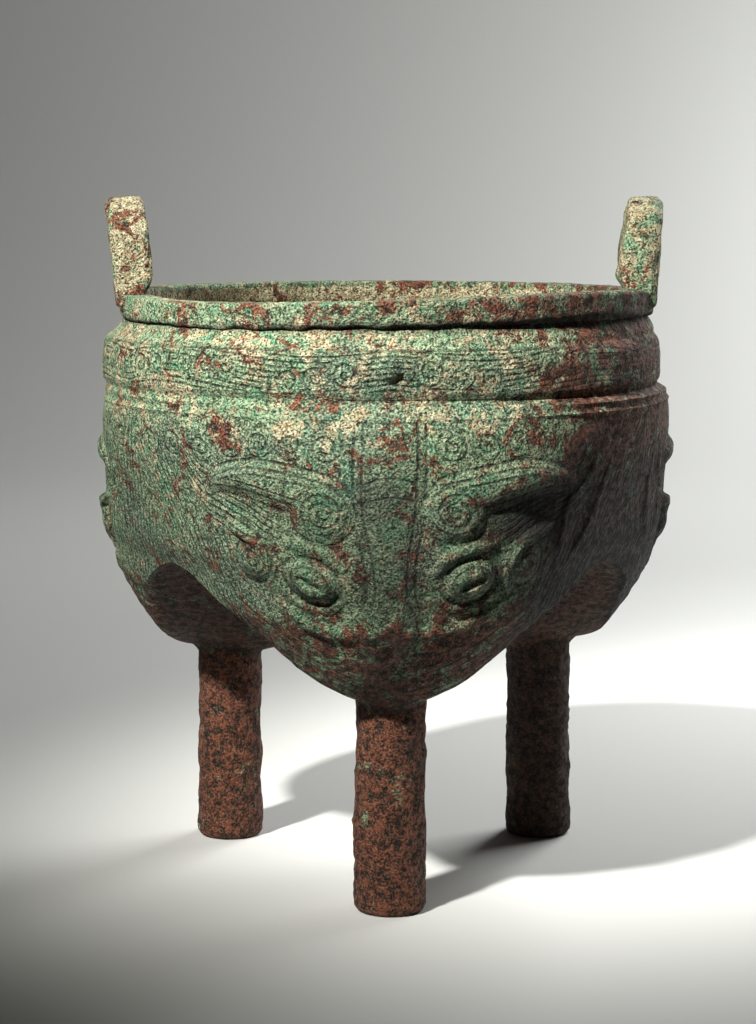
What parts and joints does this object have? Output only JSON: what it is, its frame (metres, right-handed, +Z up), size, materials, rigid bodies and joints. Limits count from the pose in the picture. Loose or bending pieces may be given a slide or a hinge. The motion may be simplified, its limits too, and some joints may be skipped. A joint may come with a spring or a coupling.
{
  "type": "bronze ding vessel",
  "caption": "Ancient cast bronze food vessel: round lipped bowl swelling into lobes with animal masks, on solid round legs, with upright loop ears.",
  "frame": {"origin": "on the floor under the feet, in the middle of the vessel's bounding box; the bowl's own vertical axis stands 4.5 mm behind it, at +Y", "axes": "+Z up through the mouth; -Y towards the front leg and its mask; +X towards the right ear"},
  "size_m": [0.2128, 0.2104, 0.24],
  "materials": {
    "patinated_bronze": "matte"
  },
  "bodies": {
    "root": {"ding_vessel": "patinated_bronze"}
  },
  "joints": []
}
